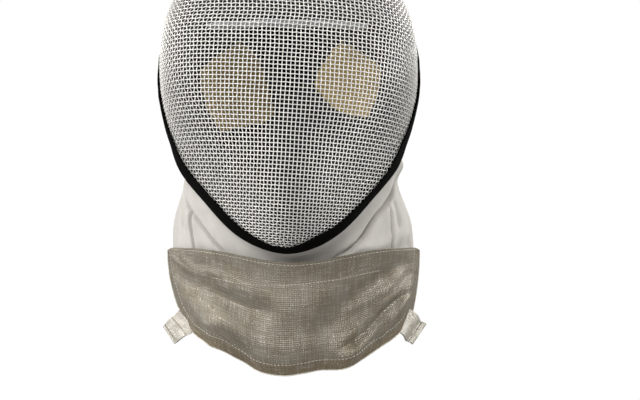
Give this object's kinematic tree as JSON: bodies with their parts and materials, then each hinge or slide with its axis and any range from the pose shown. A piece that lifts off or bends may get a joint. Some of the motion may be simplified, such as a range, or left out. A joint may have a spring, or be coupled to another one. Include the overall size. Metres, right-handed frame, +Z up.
{
  "type": "fencing mask",
  "caption": "Fencing mask: domed woven wire face with a black edge binding, padded dark liner and back pad, white throat bib and a silver-grey conductive bib with clip tabs.",
  "frame": {"origin": "middle of the head that wears the mask, where the head seat is", "axes": "+Z up as worn, the face toward -Y, +X to the right of someone who looks at the face"},
  "size_m": [0.2192, 0.2309, 0.3497],
  "materials": {
    "steel_wire": "woven bright steel wire, satin",
    "rim_vinyl": "black vinyl edge binding, satin",
    "bib_cloth": "white padded cotton drill",
    "lame_cloth": "silver-grey metallic woven cloth, satin",
    "tab_cloth": "folded metallic cloth, satin",
    "liner_cloth": "dark padded jersey, matt",
    "binding_tape": "light grey woven tape, matt",
    "pad_cloth": "dark padded jersey, matt",
    "tongue_cloth": "black covered spring strip, matt",
    "cushion_cloth": "tan brushed cloth over foam, matt"
  },
  "bodies": {
    "root": {"face_mesh": "steel_wire", "rim_trim": "rim_vinyl", "bib": "bib_cloth", "lame_bib": "lame_cloth", "clip_tab_left": "tab_cloth", "clip_tab_right": "tab_cloth", "head_liner": "liner_cloth", "liner_binding": "binding_tape", "back_pad": "pad_cloth", "back_tongue": "tongue_cloth", "cushion_left": "cushion_cloth", "cushion_right": "cushion_cloth"}
  },
  "joints": []
}
